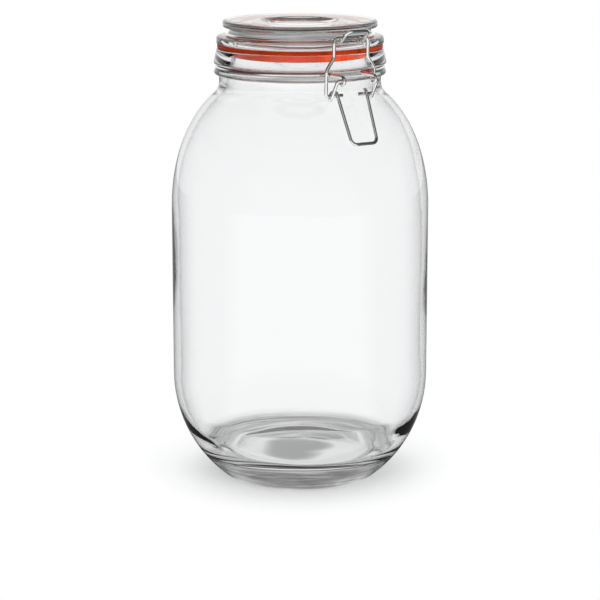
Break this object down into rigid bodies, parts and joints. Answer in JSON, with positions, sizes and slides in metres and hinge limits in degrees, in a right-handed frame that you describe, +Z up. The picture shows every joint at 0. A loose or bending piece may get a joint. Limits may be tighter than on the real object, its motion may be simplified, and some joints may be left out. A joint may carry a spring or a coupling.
{
  "type": "swing-top storage jar",
  "caption": "Wide-mouth round glass storage jar with a hinged glass lid, a flat rubber seal and a bent-wire swing-top clip that pulls the lid down on to the rim.",
  "frame": {"origin": "centre of the base on the surface that the jar stands on", "axes": "+Z up along the jar's axis, -Y towards the clip, +Y towards the lid hinge"},
  "size_m": [0.145, 0.145, 0.2592],
  "materials": {
    "glass": "clear, fire polished",
    "seal": "smooth moulded, orange",
    "wire": "bright drawn steel wire"
  },
  "bodies": {
    "jar": {"jar_body": "glass", "neck_ring": "wire"},
    "lid": {"lid_glass": "glass", "sealing_ring": "seal", "lid_ring": "wire"},
    "lever": {"lever": "wire"},
    "clasp": {"clasp": "wire"}
  },
  "joints": [
    {"name": "lid_hinge", "type": "hinge", "parent": "jar", "child": "lid", "pos_m": [0, 0.056, 0.243], "axis": [-1, 0, 0], "range_deg": [0, 110]},
    {"name": "lever_pivot", "type": "hinge", "parent": "jar", "child": "lever", "pos_m": [0, -0.058, 0.23155], "axis": [-1, 0, 0], "range_deg": [0, 145]},
    {"name": "clasp_swing", "type": "hinge", "parent": "lever", "child": "clasp", "pos_m": [0, -0.0501, 0.2226], "axis": [-1, 0, 0], "range_deg": [-319, 0]}
  ],
  "couplings": [
    {"joint": "clasp_swing", "follows": "lever_pivot", "ratio": -2.2}
  ]
}
